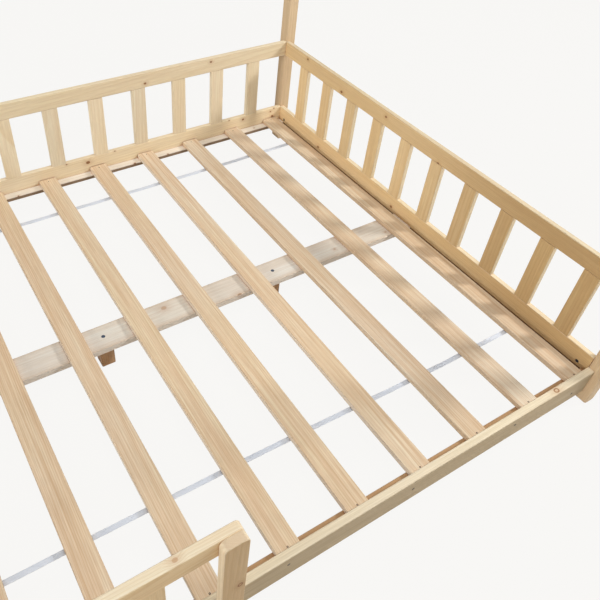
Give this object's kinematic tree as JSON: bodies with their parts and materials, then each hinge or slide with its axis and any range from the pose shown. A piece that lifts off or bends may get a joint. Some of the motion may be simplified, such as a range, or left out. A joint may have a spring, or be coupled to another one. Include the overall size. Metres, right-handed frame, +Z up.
{
  "type": "house frame bed",
  "caption": "Low slatted wooden bed inside a house-shaped frame of posts and roof members, with baluster fences on three sides and part of the front.",
  "frame": {"origin": "on the floor, at the centre of the bounding box", "axes": "+X along the bed towards the open end of the front, +Y across the bed towards the back fence, +Z up"},
  "size_m": [2.094, 1.48, 1.8782],
  "materials": {
    "frame_wood": "planed, unfinished softwood",
    "slat_wood": "planed, unfinished softwood",
    "batten_wood": "planed, unfinished softwood",
    "beam_wood": "planed, unfinished softwood",
    "key_wood": "planed hardwood",
    "webbing": "woven webbing",
    "steel": "dull zinc",
    "dark_steel": "blackened"
  },
  "bodies": {
    "root": {"back_balusters": "frame_wood", "back_ledger": "batten_wood", "back_low_rail": "frame_wood", "back_top_rail": "frame_wood", "barrel_nuts": "steel", "eave_beam_back": "frame_wood", "eave_beam_front": "frame_wood", "front_baluster_1": "frame_wood", "front_baluster_2": "frame_wood", "front_baluster_3": "frame_wood", "front_baluster_4": "frame_wood", "front_baluster_5": "frame_wood", "front_baluster_6": "frame_wood", "front_fence_end_post": "frame_wood", "front_ledger": "batten_wood", "front_low_rail": "frame_wood", "front_top_rail": "frame_wood", "joint_bolts": "dark_steel", "left_balusters": "frame_wood", "left_low_rail": "frame_wood", "left_top_rail": "frame_wood", "leg_bolts": "dark_steel", "leg_left": "batten_wood", "leg_middle": "batten_wood", "leg_right": "batten_wood", "middle_beam": "beam_wood", "post_back_left": "frame_wood", "post_back_right": "frame_wood", "post_front_left": "frame_wood", "post_front_right": "frame_wood", "rafter_back_left": "frame_wood", "rafter_back_right": "frame_wood", "rafter_front_left": "frame_wood", "rafter_front_right": "frame_wood", "ridge_beam": "frame_wood", "right_balusters": "frame_wood", "right_low_rail": "frame_wood", "right_top_rail": "frame_wood", "roof_keys": "key_wood", "slat_01": "slat_wood", "slat_02": "slat_wood", "slat_03": "slat_wood", "slat_04": "slat_wood", "slat_05": "slat_wood", "slat_06": "slat_wood", "slat_07": "slat_wood", "slat_08": "slat_wood", "slat_09": "slat_wood", "slat_10": "slat_wood", "slat_11": "slat_wood", "slat_12": "slat_wood", "strap_back": "webbing", "strap_front": "webbing"}
  },
  "joints": []
}
